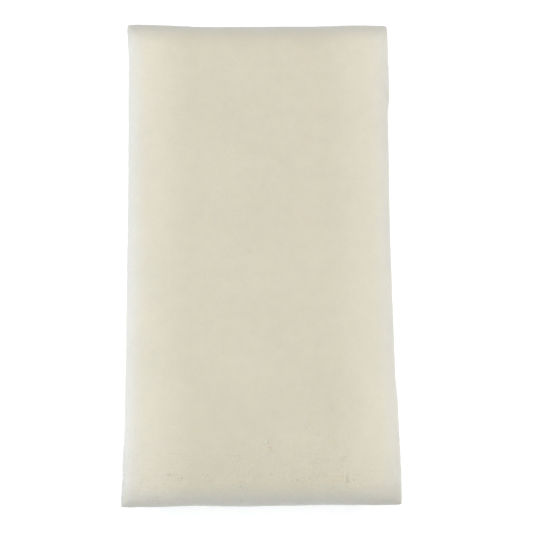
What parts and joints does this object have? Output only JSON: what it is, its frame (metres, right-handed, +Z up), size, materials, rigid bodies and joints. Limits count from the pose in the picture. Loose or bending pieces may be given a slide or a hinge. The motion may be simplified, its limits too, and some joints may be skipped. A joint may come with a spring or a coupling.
{
  "type": "floral foam brick",
  "caption": "Rectangular block of cream floral foam with softly eased top edges; rests on its flat bottom and takes flower stems pushed into it.",
  "frame": {"origin": "centre of the bottom face", "axes": "+Z up through the thickness, +Y along the length away from the viewer, +X across the width"},
  "size_m": [0.11, 0.2, 0.0758],
  "materials": {
    "foam": "matt, fine open cells, faintly translucent at the edges",
    "crumbs": "matt, broken foam"
  },
  "bodies": {
    "root": {"foam_block": "foam", "loose_crumbs": "crumbs"}
  },
  "joints": []
}
